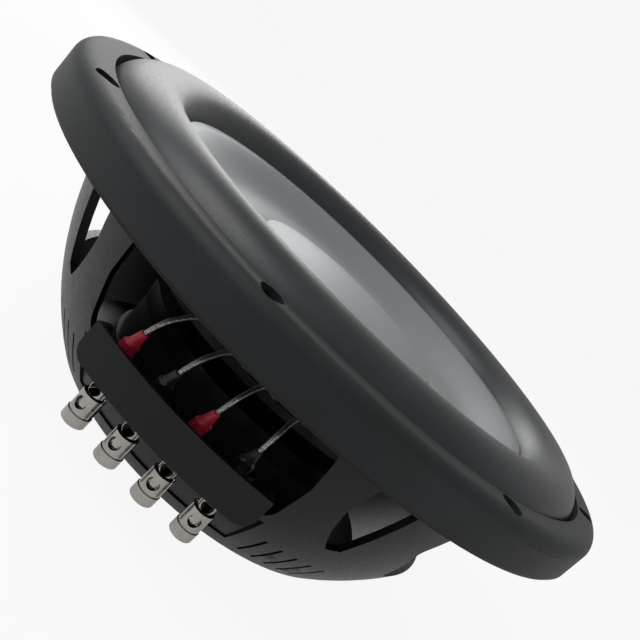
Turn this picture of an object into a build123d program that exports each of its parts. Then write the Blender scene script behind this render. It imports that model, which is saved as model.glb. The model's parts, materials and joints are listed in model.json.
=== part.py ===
from build123d import *
import os
from math import cos, pi, radians, sin, sqrt, tan

# Shallow twelve-inch car subwoofer, millimetres.
# The origin is on the speaker's axis, on the plane that its back rests on, and +Z points to its front.
# The terminals face -Y.

# ---------------------------------------------------------------- overall sizes
trim_radius = 155.0            # outside of the trim ring
face_height = 105.0            # front face of the trim ring above the back
face_opening_radius = 140.6    # inner edge of the trim ring's face
plate_radius = 150.0           # cast mounting plate of the basket
lip_radius = 153.8             # thin lip of the basket under the trim ring
landing_depth = 9.5            # surround's glued foot below the front face
trim_corner = 7.0              # rounded outer edge of the face
trim_inner_corner = 1.2

# ---------------------------------------------------------------- surround
roll_radius = 18.0             # outside of the half roll
roll_centre = 122.2            # radius of the roll's centre circle
rubber = 1.6                   # thickness of the moulded rubber
foot_radius = 149.7            # outer edge of the glued foot
cone_lip_height = 5.7          # inner lip's face above the foot
cone_lip_radius = 100.4        # inner edge of the lip under the cone

# ---------------------------------------------------------------- basket casting
plate_thickness = 9.5          # mounting plate under the surround's foot
lip_thickness = 1.6
web_thickness = 4.0            # floor of the step inside the mounting plate
step_radius = 137.5            # inner edge of the foot's landing
wall = 4.0                     # thickness of the cast bowl
neck_radius = 128.6            # bowl at the mounting plate
waist_radius = 123.0
waist_height = 62.0
hip_radius = 113.0             # where the bowl starts to turn under
hip_height = 36.0
heel_radius = 88.0             # outer edge of the flat floor
floor_thickness = 5.0
floor_opening = 46.0           # radius of the hole that the yoke's boss fills
window_middle = -91.0          # azimuth of the front window's middle
window_half_top = 51.5         # front and back windows, half width along the wall
window_half_waist = 53.5
window_half_foot = 49.5
side_window_half_top = 69.0    # windows at the sides
side_window_half_waist = 68.0
side_window_half_foot = 48.0
window_widest = 57.0           # height of a large window's widest place
window_foot = 30.0             # height of the lower edge of a large window
window_gap = 2.4               # rim left between a window and the mounting plate
window_corner = 11.0
leaf_turn = 39.5               # degrees from the front or back window to each small pointed one
leaf_half_width = 12.2
leaf_tip = (1.5, 36.0)         # place along the wall, towards the side window, and height
leaf_heel = (7.2, 38.5)        # lower corner of the straight side
leaf_belly = (-7.0, 47.0)      # a point on the curved side
leaf_shoulder = 60.0           # height where the curved side becomes straight
leaf_corner = 2.0
groove_turn = 41.0             # degrees from the front or back window to the middle groove
groove_count = 5               # grooves in the heel under each small window
groove_pitch = 4.45            # degrees
groove_width = 1.5
groove_depth = 1.2
groove_top = 21.5
recess_half_angle = 27.0       # shallow recess in the heel behind the terminals
recess_depth = 2.2
recess_foot = 7.0

# ---------------------------------------------------------------- fixing holes
bolt_count = 8
bolt_circle = 146.0            # radius of the circle of fixing holes
bolt_hole = 3.1                # radius through the basket
bolt_recess = 4.9              # radius through the trim ring and the surround's foot

# ---------------------------------------------------------------- motor
yoke_radius = 72.0
yoke_thickness = 10.0
pole_radius = 30.5
vent_radius = 10.0
vent_flare = 3.0
magnet_radius = 70.0
magnet_bore = 40.0
magnet_thickness = 20.0
plate_bore = 34.2              # top plate, round the gap
plate_outer = 71.0
top_plate_thickness = 9.0
pole_stand_out = 2.0           # pole above the top plate
shorting_wall = 4.2
motor_bolt_count = 6
motor_bolt_circle = 60.0
motor_bolt = 3.0
motor_bolt_head = 5.2
motor_bolt_head_height = 3.2
motor_bolt_grip = 8.0          # length in the yoke
socket_flats = 0.95            # across corners, to the shank's diameter
socket_depth = 0.6             # to the head's height
mesh_radius = 14.0
mesh_thickness = 0.8
mesh_seat = 2.0                # depth of the recess for the mesh
mesh_rim = 1.5
mesh_hole = 1.2
mesh_hole_pitch = 3.4
mesh_rows = 7

# ---------------------------------------------------------------- moving parts
coil_radius = 31.0             # inside of the former
former_wall = 0.4
winding_height = 24.0
winding_layer = 0.9
former_top = 84.0
former_tail = 0.5              # former below its windings
cone_radius = 104.5
cone_wall = 1.2
cone_rim_width = 4.4
dish_radius = 76.0             # middle of the dish
dish_depth = 10.6              # below the rim
dish_floor_radius = 60.0
dish_floor_depth = 12.8
neck_height = 76.0             # where the cone meets the former
neck_slope = 1.6               # wall at the neck, measured upwards, over the wall at the rim
neck_run = 1.3                 # outwards for each unit upwards at the neck
cone_rim_slope = 0.35
cap_radius = 52.5              # dust cap
cap_wall = 1.2
cap_edge_height = 94.2
cap_crown = 3.2                # dome above its edge
eyelet_circle = 46.0
eyelet_radius = 1.6
eyelet_shank = 2.0             # stands out each side of the cone

# ---------------------------------------------------------------- spider and its ring
spider_height = 62.0
spider_cloth = 1.0
spider_waves = 5
spider_wave_height = 1.2
spider_foot_width = 7.0
spider_radius = 85.0
spider_collar = 3.0            # flat collar at the former
ring_foot_radius = 59.0
ring_wall = 3.5
ring_bolt_count = 4
ring_bolt_circle = 63.5
ring_bolt = 2.0
ring_bolt_head = 3.4
ring_bolt_head_height = 2.6
ring_bolt_grip = 6.0           # length in the top plate
ring_vent_count = 8
ring_vent_width = 16.0
ring_vent_height = 6.0
ring_vent_corner = 2.0
ring_rim = 1.0                 # ring outside the spider's foot

# ---------------------------------------------------------------- terminals
terminal_circle = 124.0        # radius of the terminals' axes
terminal_middle = -88.9        # azimuth of the row's middle
terminal_pitch = 8.67          # degrees between neighbours
terminal_count = 4
panel_radius = 131.5
panel_inner = 104.0
panel_half_angle = 19.5
panel_end_depth = 14.0         # closed ends, along the radius
panel_bottom = 34.8            # underside of the panel's floor
panel_floor = 4.5
panel_wall = 2.0
panel_skirt = 1.8              # outer wall below the floor
panel_wall_height = 15.4       # outer wall from its lower to its upper edge
panel_corner = 6.0             # rounded lower corners of the outer wall
panel_end_step = 0.4           # closed ends behind the outer wall's face
panel_screw_circle = 108.0
panel_screw_angle = 15.5       # degrees each side of the middle
panel_screw = 2.0
panel_screw_depth = 6.0
panel_screw_head = 3.5
panel_screw_head_height = 2.4
pad_half_width = 6.0
bush_radius = 5.2
bush_thickness = 1.2
bush_spigot = 3.0
post_radius = 3.6
stud_radius = 2.0
wire_hole = 2.5                # radius
wire_hole_drop = 5.5           # below the panel
post_drop = 13.7               # lower end of the post
cap_mouth_drop = 8.1           # open end of the push cap
cap_end_drop = 21.8            # flat end of the push cap
cap_tube_radius = 4.75
cap_end_radius = 5.05
cap_end_height = 4.8
cap_end_wall = 1.2
cap_end_rounding = 0.7
cap_groove = 0.5
cap_mouth_rim = 0.35           # flat rim at the open end, inside which the bore widens
cap_mouth_depth = 0.8
push_travel = 6.7
running_gap = 0.05
stop_pin = 0.6
stop_pin_drop = 9.6
spring_seat_drop = 10.6
spring_radius = 2.0
spring_wire = 0.55
spring_turns = 5
tab_width = 4.8
tab_thickness = 0.8
tab_length = 10.0
tab_ring = 4.2                 # radius of the tab's eye under the nut
tab_turns = (70.0, 60.0, 45.0, 10.0)  # degrees that each tab is turned from the speaker's axis
tab_lean = 12.0                # degrees that its blade leans back over the nut
tab_bend = 5.8                 # from the terminal's axis to the bend
nut_flats = 7.0
nut_height = 3.2
stud_stand_out = 0.6           # stud above its nut
sleeve_start = 4.6             # above the bend
sleeve_body = 5.6
sleeve_length = 12.0
sleeve_width = 6.8
sleeve_thickness = 4.2
sleeve_rounding = 1.6
sleeve_shoulder = 1.2          # length of the step from the body to the barrel
sleeve_barrel_width = 4.6
sleeve_barrel_thickness = 3.8
sleeve_neck = 1.5
lead_radius = 0.95
lead_straight = 6.0            # lead's first straight run beyond its sleeve
lead_depth = 3.0               # length of a lead inside its sleeve
lead_turn = 9.0                # degrees that a lead moves round before it reaches the cone
lead_points = (                # radius, degrees round and height of the corners on a lead's way
    (113.5, 0.8, 69.5),
    (108.0, 2.2, 71.0),
    (101.0, 4.2, 66.5),
    (90.0, 7.0, 65.4),
    (79.0, 8.6, 67.4),
    (66.0, 8.8, 71.0),
    (55.5, 9.1, 72.6),
    (48.2, 9.0, 76.0),
)
corner_share = 0.45            # of the shorter run beside a corner, taken up by the arc

# ---------------------------------------------------------------- worked out from the above
glue = 0.3                     # flexible joints between bodies
fit = 0.05                     # fixed pieces beside each other
landing = face_height - landing_depth
foot_bottom = landing - rubber
plate_bottom = foot_bottom - plate_thickness
lip_top = plate_bottom + lip_thickness
web_top = plate_bottom + web_thickness
lip_face = landing + cone_lip_height
cone_rim = lip_face + glue + cone_wall
yoke_top = floor_thickness + yoke_thickness
magnet_top = yoke_top + magnet_thickness
gap_top = magnet_top + top_plate_thickness
gap_middle = magnet_top + top_plate_thickness / 2
winding_bottom = gap_middle - winding_height / 2
former_radius = coil_radius + former_wall
spider_inner = former_radius + glue
panel_top = panel_bottom + panel_floor
panel_foot = panel_bottom - panel_skirt
panel_crest = panel_foot + panel_wall_height
panel_ends = [terminal_middle + side * panel_half_angle for side in (-1, 1)]
panel_screw_azimuths = [terminal_middle + side * panel_screw_angle for side in (-1, 1)]
window_drop = wire_hole_drop + push_travel
first_terminal = terminal_middle - terminal_pitch * (terminal_count - 1) / 2
terminal_angles = [first_terminal + terminal_pitch * number for number in range(terminal_count)]
eyelet_azimuths = [angle + lead_turn for angle in terminal_angles]


def wheel_plane(azimuth, height=0.0):
    """Vertical plane through the axis: local x runs outwards at this azimuth and local y runs up."""
    out = (cos(radians(azimuth)), sin(radians(azimuth)), 0)
    side = (sin(radians(azimuth)), -cos(radians(azimuth)), 0)
    return Plane(origin=(0, 0, height), x_dir=out, z_dir=side)


def facing_plane(azimuth):
    """Vertical plane through the axis that faces outwards: local x runs round the bowl, local y up."""
    out = (cos(radians(azimuth)), sin(radians(azimuth)), 0)
    round_about = (-sin(radians(azimuth)), cos(radians(azimuth)), 0)
    return Plane(origin=(0, 0, 0), x_dir=round_about, z_dir=out)


def spot_plane(azimuth, radius, height=0.0):
    """Horizontal plane on a circle round the axis: local x runs outwards."""
    out = (cos(radians(azimuth)), sin(radians(azimuth)), 0)
    origin = (radius * out[0], radius * out[1], height)
    return Plane(origin=origin, x_dir=out, z_dir=(0, 0, 1))


def spots_on(azimuths, radius):
    """Places on a circle round the axis."""
    return Locations(*[spot_plane(azimuth, radius).origin for azimuth in azimuths])


def finish(part, name):
    """Names a piece and writes its file."""
    part.label = name
    export_step(part, "parts/" + name + ".step")
    print(name, round(part.volume, 1))


os.makedirs("parts", exist_ok=True)


# ---------------------------------------------------------------- basket
def bowl_outline(inset, foot_inset, floor):
    """Half section between the axis and the bowl's surface, which stands inset inside the outside."""
    with BuildSketch(Plane.XZ) as section:
        with BuildLine():
            side = ThreePointArc(
                (neck_radius - inset, plate_bottom + web_thickness / 2),
                (waist_radius - inset, waist_height),
                (hip_radius - inset, hip_height),
            )
            heel = TangentArc(side @ 1, (heel_radius - foot_inset, floor), tangent=side % 1)
            Polyline(heel @ 1, (0, floor), (0, plate_bottom + web_thickness / 2), side @ 0)
        make_face()
    return section.sketch_local


def window_outline(half_top, half_waist, half_foot):
    """Six-sided opening with rounded corners, drawn on a facing plane."""
    top = plate_bottom - window_gap
    with BuildSketch() as outline:
        Polygon(
            (-half_foot, window_foot),
            (half_foot, window_foot),
            (half_waist, window_widest),
            (half_top, top),
            (-half_top, top),
            (-half_waist, window_widest),
            align=None,
        )
        fillet(outline.vertices(), window_corner)
    return outline.sketch


def leaf_outline(side):
    """Small opening: straight towards the side window, and curved to its tip on the other side."""
    top = plate_bottom - window_gap
    with BuildSketch() as outline:
        with BuildLine():
            belly = ThreePointArc(leaf_tip, leaf_belly, (-leaf_half_width, leaf_shoulder))
            Polyline(belly @ 1, (-leaf_half_width, top), (leaf_half_width, top), leaf_heel, belly @ 0)
        make_face()
        fillet(outline.vertices().group_by(Axis.Y)[0], leaf_corner)
        if side < 0:
            mirror(about=Plane.YZ, mode=Mode.REPLACE)
    return outline.sketch


bowl_outside = bowl_outline(0, 0, 0)
bowl_inside = bowl_outline(wall, wall / 4, floor_thickness)
groove_bed = bowl_outline(groove_depth, groove_depth, 0)
recess_bed = bowl_outline(recess_depth, 0, 0)
front_window = window_outline(window_half_top, window_half_waist, window_half_foot)
side_window = window_outline(side_window_half_top, side_window_half_waist, side_window_half_foot)

with BuildPart() as basket:
    with BuildSketch(Plane.XZ):
        add(bowl_outside)
    revolve(axis=Axis.Z)
    with BuildSketch(Plane.XZ):
        add(bowl_inside)
    revolve(axis=Axis.Z, mode=Mode.SUBTRACT)
    # mounting plate with the landing for the surround and a thin lip under the trim ring
    with BuildSketch(Plane.XZ):
        Polygon(
            (neck_radius - wall, plate_bottom),
            (lip_radius, plate_bottom),
            (lip_radius, lip_top),
            (plate_radius, lip_top),
            (plate_radius, foot_bottom),
            (step_radius, foot_bottom),
            (step_radius - web_thickness, web_top),
            (neck_radius - wall, web_top),
            align=None,
        )
    revolve(axis=Axis.Z)
    with BuildSketch(Plane.XY):
        Circle(floor_opening)
    extrude(amount=floor_thickness * 2, mode=Mode.SUBTRACT)
    # four large windows, one of them in front for the terminals
    for azimuth, outline in (
        (window_middle, front_window),
        (window_middle + 90, side_window),
        (window_middle + 180, front_window),
        (window_middle + 270, side_window),
    ):
        with BuildSketch(facing_plane(azimuth)):
            add(outline)
        extrude(amount=trim_radius, mode=Mode.SUBTRACT)
    # beside the front and back ones, small pointed windows with grooves in the heel under them
    for azimuth in (window_middle, window_middle + 180):
        for side in (-1, 1):
            with BuildSketch(facing_plane(azimuth + side * leaf_turn)):
                add(leaf_outline(side))
            extrude(amount=trim_radius, mode=Mode.SUBTRACT)
            for step in range(groove_count):
                turn = azimuth + side * groove_turn + groove_pitch * (step - (groove_count - 1) / 2)
                with BuildSketch(wheel_plane(turn)):
                    add(bowl_outside)
                    add(groove_bed, mode=Mode.SUBTRACT)
                    with Locations((hip_radius, (groove_top + floor_thickness) / 2)):
                        groove_height = groove_top - floor_thickness
                        Rectangle(2 * (hip_radius - heel_radius), groove_height, mode=Mode.INTERSECT)
                extrude(amount=groove_width / 2, both=True, mode=Mode.SUBTRACT)
    # shallow recess under the front window
    with BuildSketch(wheel_plane(window_middle - recess_half_angle)):
        add(bowl_outside)
        add(recess_bed, mode=Mode.SUBTRACT)
        with Locations((hip_radius, (window_foot + recess_foot) / 2)):
            Rectangle(2 * (hip_radius - heel_radius), window_foot - recess_foot, mode=Mode.INTERSECT)
    revolve(axis=Axis.Z, revolution_arc=2 * recess_half_angle, mode=Mode.SUBTRACT)
    # two pads on the lower edge of the front window carry the terminal panel
    for azimuth in panel_screw_azimuths:
        with BuildSketch(spot_plane(azimuth, panel_screw_circle, window_foot - wall)):
            Rectangle(2 * (panel_screw_circle - panel_inner), 2 * pad_half_width)
        extrude(amount=panel_bottom - window_foot + wall)
    with BuildSketch(Plane.XY.offset(panel_bottom)):
        with spots_on(panel_screw_azimuths, panel_screw_circle):
            Circle(panel_screw)
    extrude(amount=-panel_screw_depth, mode=Mode.SUBTRACT)
    # holes for the fixing bolts and for the screws that hold the motor
    with BuildSketch(Plane.XY.offset(plate_bottom)):
        with PolarLocations(bolt_circle, bolt_count):
            Circle(bolt_hole)
    extrude(amount=plate_thickness, mode=Mode.SUBTRACT)
    with BuildSketch(Plane.XY):
        with PolarLocations(motor_bolt_circle, motor_bolt_count):
            Circle(motor_bolt + fit)
    extrude(amount=floor_thickness, mode=Mode.SUBTRACT)
    with BuildSketch(Plane.XY):
        with PolarLocations(motor_bolt_circle, motor_bolt_count):
            Circle(motor_bolt_head + fit)
    extrude(amount=motor_bolt_head_height, mode=Mode.SUBTRACT)
finish(basket.part, "basket")

# ---------------------------------------------------------------- trim ring and surround
with BuildPart() as trim_ring:
    with BuildSketch(Plane.XZ) as trim_section:
        Polygon(
            (face_opening_radius, landing),
            (plate_radius + glue, landing),
            (plate_radius + glue, lip_top),
            (trim_radius, lip_top),
            (trim_radius, face_height),
            (face_opening_radius, face_height),
            align=None,
        )
        corners = trim_section.vertices().group_by(Axis.Y)[-1].sort_by(Axis.X)
        fillet(corners[-1], trim_corner)
        fillet(corners[0], trim_inner_corner)
    revolve(axis=Axis.Z)
    with BuildSketch(Plane.XY.offset(lip_top)):
        with PolarLocations(bolt_circle, bolt_count):
            Circle(bolt_recess)
    extrude(amount=face_height - lip_top, mode=Mode.SUBTRACT)
finish(trim_ring.part, "trim_ring")


def roll_reach(radius, height):
    """Distance from the roll's centre circle to a circle of this radius at a height above the foot."""
    return sqrt(radius**2 - height**2)


with BuildPart() as surround:
    with BuildSketch(Plane.XZ):
        with BuildLine():
            inner_end = (roll_centre - roll_reach(roll_radius, cone_lip_height), lip_face)
            crown = ThreePointArc(
                (roll_centre + roll_radius, landing),
                (roll_centre, landing + roll_radius),
                inner_end,
            )
            hollow_radius = roll_radius - rubber
            lip_under = cone_lip_height - rubber
            hollow_end = (roll_centre - roll_reach(hollow_radius, lip_under), lip_face - rubber)
            hollow = ThreePointArc(
                hollow_end,
                (roll_centre, landing + hollow_radius),
                (roll_centre + hollow_radius, landing),
            )
            lip_back = (cone_lip_radius, lip_face - rubber)
            Polyline(crown @ 1, (cone_lip_radius, lip_face), lip_back, hollow @ 0)
            Polyline(
                hollow @ 1,
                (roll_centre + hollow_radius, foot_bottom),
                (foot_radius, foot_bottom),
                (foot_radius, landing),
                crown @ 0,
            )
        make_face()
    revolve(axis=Axis.Z)
    with BuildSketch(Plane.XY.offset(foot_bottom)):
        with PolarLocations(bolt_circle, bolt_count):
            Circle(bolt_recess)
    extrude(amount=rubber, mode=Mode.SUBTRACT)
finish(surround.part, "surround")


# ---------------------------------------------------------------- cone, dust cap and voice coil
def cone_curve(drop):
    """Front face of the cone from the rim to the former, lowered by drop."""
    return Spline(
        (cone_radius - cone_rim_width, cone_rim - drop),
        (dish_radius, cone_rim - dish_depth - drop),
        (dish_floor_radius, cone_rim - dish_floor_depth - drop),
        (former_radius + fit, neck_height - drop * neck_slope),
        tangents=((-1, -cone_rim_slope), (-neck_run, -1)),
    )


with BuildPart() as cone:
    with BuildSketch(Plane.XZ):
        with BuildLine():
            front = cone_curve(0)
            back = cone_curve(cone_wall)
            Line(front @ 1, back @ 1)
            Polyline(front @ 0, (cone_radius, cone_rim), (cone_radius, cone_rim - cone_wall), back @ 0)
        make_face()
    revolve(axis=Axis.Z)
    with BuildSketch(Plane.XY.offset(neck_height)):
        with spots_on(eyelet_azimuths, eyelet_circle):
            Circle(eyelet_radius + fit)
    extrude(amount=cone_rim - neck_height, mode=Mode.SUBTRACT)
finish(cone.part, "cone")


def cone_face(radius):
    """Height of the cone's front face at a radius, found by halving along the curve."""
    low, high = 0.0, 1.0
    for _ in range(30):
        middle = (low + high) / 2
        if (front @ middle).X > radius:
            low = middle
        else:
            high = middle
    return (front @ low).Y


cap_seat = cone_face(cap_radius) + fit
eyelet_base = cone_face(eyelet_circle - eyelet_radius) - cone_wall * neck_slope - eyelet_shank


def dome(radius):
    """Height of the dust cap's spherical face at a radius."""
    sphere = (cap_radius**2 + cap_crown**2) / (2 * cap_crown)
    return cap_edge_height + sqrt(sphere**2 - radius**2) - (sphere - cap_crown)


with BuildPart() as dust_cap:
    with BuildSketch(Plane.XZ):
        with BuildLine():
            inner_edge = cap_radius - cap_wall
            middle = cap_radius / 2
            ThreePointArc((0, dome(0)), (middle, dome(middle)), (cap_radius, dome(cap_radius)))
            Polyline(
                (cap_radius, dome(cap_radius)),
                (cap_radius, cap_seat),
                (inner_edge, cap_seat),
                (inner_edge, dome(inner_edge) - cap_wall),
            )
            ThreePointArc(
                (inner_edge, dome(inner_edge) - cap_wall),
                (middle, dome(middle) - cap_wall),
                (0, dome(0) - cap_wall),
            )
            Line((0, dome(0) - cap_wall), (0, dome(0)))
        make_face()
    revolve(axis=Axis.Z)
finish(dust_cap.part, "dust_cap")


def sleeve(name, inside, outside, bottom, top):
    """Plain tube round the speaker's axis."""
    with BuildPart() as tube:
        with BuildSketch(Plane.XY.offset(bottom)):
            Circle(outside)
            Circle(inside, mode=Mode.SUBTRACT)
        extrude(amount=top - bottom)
    finish(tube.part, name)


inner_layer = former_radius + fit
outer_layer = inner_layer + winding_layer + fit
winding_top = winding_bottom + winding_height
sleeve("voice_coil_former", coil_radius, former_radius, winding_bottom - former_tail, former_top)
sleeve("voice_coil_first_winding", inner_layer, inner_layer + winding_layer, winding_bottom, winding_top)
second_face = outer_layer + winding_layer
sleeve("voice_coil_second_winding", outer_layer, second_face, winding_bottom, winding_top)

# rivets that take the leads through the cone, out of sight under the dust cap
with BuildPart() as lead_eyelets:
    with BuildSketch(Plane.XY.offset(eyelet_base)):
        with spots_on(eyelet_azimuths, eyelet_circle):
            Circle(eyelet_radius)
    extrude(amount=2 * eyelet_shank + cone_wall * neck_slope)
finish(lead_eyelets.part, "lead_eyelets")

# ---------------------------------------------------------------- spider and the ring that carries it
ring_seat = spider_height - spider_cloth / 2
with BuildPart() as spider:
    wave_start = spider_inner + spider_collar
    wave_end = spider_radius - spider_foot_width
    pitch = (wave_end - wave_start) / (2 * spider_waves)
    under = spider_height - spider_cloth / 2
    over = spider_height + spider_cloth / 2
    with BuildSketch(Plane.XZ):
        with BuildLine():
            for level in (under, over):
                Line((spider_inner, level), (wave_start, level))
                for half in range(2 * spider_waves):
                    left = wave_start + half * pitch
                    rise = spider_wave_height * (-1) ** half
                    ThreePointArc((left, level), (left + pitch / 2, level + rise), (left + pitch, level))
                Line((wave_end, level), (spider_radius, level))
            Line((spider_inner, under), (spider_inner, over))
            Line((spider_radius, under), (spider_radius, over))
        make_face()
    revolve(axis=Axis.Z)
finish(spider.part, "spider")

with BuildPart() as spider_ring:
    with BuildSketch(Plane.XZ):
        Polygon(
            (ring_foot_radius, gap_top),
            (plate_outer, gap_top),
            (spider_radius + ring_rim, ring_seat - ring_wall),
            (spider_radius + ring_rim, ring_seat),
            (wave_end + glue, ring_seat),
            (wave_end + glue, ring_seat - ring_wall / 2),
            (plate_outer - ring_wall, gap_top + ring_wall),
            (ring_foot_radius, gap_top + ring_wall),
            align=None,
        )
    revolve(axis=Axis.Z)
    # air vents under the spider
    for number in range(ring_vent_count):
        with BuildSketch(facing_plane(360 / ring_vent_count * (number + 0.5))):
            with Locations((0, (gap_top + ring_seat) / 2)):
                RectangleRounded(ring_vent_width, ring_vent_height, ring_vent_corner)
        extrude(amount=2 * spider_radius, mode=Mode.SUBTRACT)
    with BuildSketch(Plane.XY.offset(gap_top)):
        with PolarLocations(ring_bolt_circle, ring_bolt_count):
            Circle(ring_bolt + fit)
    extrude(amount=ring_wall, mode=Mode.SUBTRACT)
finish(spider_ring.part, "spider_ring")

# ---------------------------------------------------------------- motor
with BuildPart() as yoke:
    with BuildSketch(Plane.XZ):
        Polygon(
            (vent_radius + vent_flare, 0),
            (floor_opening - fit, 0),
            (floor_opening - fit, floor_thickness),
            (yoke_radius, floor_thickness),
            (yoke_radius, yoke_top),
            (pole_radius, yoke_top),
            (pole_radius, gap_top + pole_stand_out),
            (vent_radius, gap_top + pole_stand_out),
            (vent_radius, vent_flare),
            align=None,
        )
    revolve(axis=Axis.Z)
    with BuildSketch(Plane.XY):
        Circle(mesh_radius + fit)
    extrude(amount=mesh_seat, mode=Mode.SUBTRACT)
    with BuildSketch(Plane.XY.offset(floor_thickness)):
        with PolarLocations(motor_bolt_circle, motor_bolt_count):
            Circle(motor_bolt + fit)
    extrude(amount=motor_bolt_grip, mode=Mode.SUBTRACT)
finish(yoke.part, "yoke")

sleeve("magnet", magnet_bore, magnet_radius, yoke_top, magnet_top)
sleeve("shorting_ring", magnet_bore - shorting_wall, magnet_bore - fit, yoke_top, magnet_top)

with BuildPart() as top_plate:
    with BuildSketch(Plane.XY.offset(magnet_top)):
        Circle(plate_outer)
        Circle(plate_bore, mode=Mode.SUBTRACT)
        with PolarLocations(ring_bolt_circle, ring_bolt_count):
            Circle(ring_bolt + fit, mode=Mode.SUBTRACT)
    extrude(amount=top_plate_thickness)
finish(top_plate.part, "top_plate")

mesh_field = mesh_radius - mesh_rim - mesh_hole
mesh_spots = [
    spot.position
    for spot in HexLocations(mesh_hole_pitch / 2, mesh_rows, mesh_rows).local_locations
    if spot.position.length < mesh_field
]
with BuildPart() as vent_mesh:
    with BuildSketch(Plane.XY.offset(mesh_seat - mesh_thickness)):
        Circle(mesh_radius)
        with Locations(*mesh_spots):
            Circle(mesh_hole, mode=Mode.SUBTRACT)
    extrude(amount=mesh_thickness)
finish(vent_mesh.part, "vent_mesh")


def socket_screws(name, plane, spots, head_radius, head_height, shank_radius, shank_length):
    """Cap screws: the heads stand on the plane, and the shanks run from it the other way."""
    with BuildPart() as screws:
        with BuildSketch(plane):
            with spots:
                Circle(head_radius)
        extrude(amount=head_height)
        with BuildSketch(plane.offset(head_height)):
            with spots:
                RegularPolygon(shank_radius * socket_flats, 6)
        extrude(amount=-head_height * socket_depth, mode=Mode.SUBTRACT)
        with BuildSketch(plane):
            with spots:
                Circle(shank_radius)
        extrude(amount=-shank_length)
    finish(screws.part, name)


socket_screws(
    "motor_screws",
    Plane(origin=(0, 0, motor_bolt_head_height), x_dir=(1, 0, 0), z_dir=(0, 0, -1)),
    PolarLocations(motor_bolt_circle, motor_bolt_count),
    motor_bolt_head,
    motor_bolt_head_height,
    motor_bolt,
    floor_thickness - motor_bolt_head_height + motor_bolt_grip - fit,
)
socket_screws(
    "spider_ring_screws",
    Plane.XY.offset(gap_top + ring_wall),
    PolarLocations(ring_bolt_circle, ring_bolt_count),
    ring_bolt_head,
    ring_bolt_head_height,
    ring_bolt,
    ring_wall + ring_bolt_grip,
)

# ---------------------------------------------------------------- terminal panel
with BuildPart() as terminal_panel:
    with BuildSketch(wheel_plane(panel_ends[0])):
        Polygon(
            (panel_inner, panel_bottom),
            (panel_radius - panel_wall, panel_bottom),
            (panel_radius - panel_wall, panel_foot),
            (panel_radius, panel_foot),
            (panel_radius, panel_crest),
            (panel_radius - panel_wall, panel_crest),
            (panel_radius - panel_wall, panel_top),
            (panel_inner, panel_top),
            align=None,
        )
    revolve(axis=Axis.Z, revolution_arc=2 * panel_half_angle)
    # closed ends
    for azimuth, inwards in zip(panel_ends, (-1, 1)):
        with BuildSketch(wheel_plane(azimuth)):
            Polygon(
                (panel_radius - panel_end_depth, panel_bottom),
                (panel_radius - panel_end_step, panel_bottom),
                (panel_radius - panel_end_step, panel_crest),
                (panel_radius - panel_end_depth / 2, panel_crest),
                align=None,
            )
        extrude(amount=inwards * panel_wall)
    # rounded lower corners
    corner_reach = panel_radius * sin(radians(panel_half_angle))
    corner_start = (panel_radius - panel_end_depth) * cos(radians(panel_half_angle))
    with BuildSketch(facing_plane(terminal_middle).offset(corner_start)):
        with Locations((-corner_reach, panel_foot), (corner_reach, panel_foot)):
            Rectangle(2 * panel_corner, 2 * panel_corner)
        rounding = corner_reach - panel_corner
        with Locations((-rounding, panel_foot + panel_corner), (rounding, panel_foot + panel_corner)):
            Circle(panel_corner, mode=Mode.SUBTRACT)
    extrude(amount=panel_radius, mode=Mode.SUBTRACT)
    with BuildSketch(Plane.XY.offset(panel_bottom)):
        with spots_on(terminal_angles, terminal_circle):
            Circle(bush_spigot + fit)
        with spots_on(panel_screw_azimuths, panel_screw_circle):
            Circle(panel_screw + fit)
    extrude(amount=panel_floor, mode=Mode.SUBTRACT)
finish(terminal_panel.part, "terminal_panel")

socket_screws(
    "terminal_panel_screws",
    Plane.XY.offset(panel_top),
    spots_on(panel_screw_azimuths, panel_screw_circle),
    panel_screw_head,
    panel_screw_head_height,
    panel_screw - fit,
    panel_floor + panel_screw_depth - fit,
)


# ---------------------------------------------------------------- one push terminal
def make_bush(angle):
    """Insulating washer with a spigot that lines the hole in the panel."""
    with BuildPart() as bush:
        with BuildSketch(spot_plane(angle, terminal_circle, panel_bottom - bush_thickness)):
            Circle(bush_radius)
        extrude(amount=bush_thickness)
        with BuildSketch(spot_plane(angle, terminal_circle, panel_bottom)):
            Circle(bush_spigot)
        extrude(amount=panel_floor - fit)
        with BuildSketch(spot_plane(angle, terminal_circle, panel_bottom - bush_thickness)):
            Circle(stud_radius + fit)
        extrude(amount=bush_thickness + panel_floor, mode=Mode.SUBTRACT)
    return bush.part


def cross_hole(angle, drop, across):
    """Plane at a terminal's axis for a hole that runs outwards, or across that way."""
    out = (cos(radians(angle)), sin(radians(angle)), 0)
    round_about = (-sin(radians(angle)), cos(radians(angle)), 0)
    origin = (terminal_circle * out[0], terminal_circle * out[1], panel_bottom - drop)
    if across:
        return Plane(origin=origin, x_dir=out, z_dir=(-round_about[0], -round_about[1], 0))
    return Plane(origin=origin, x_dir=round_about, z_dir=out)


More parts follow.
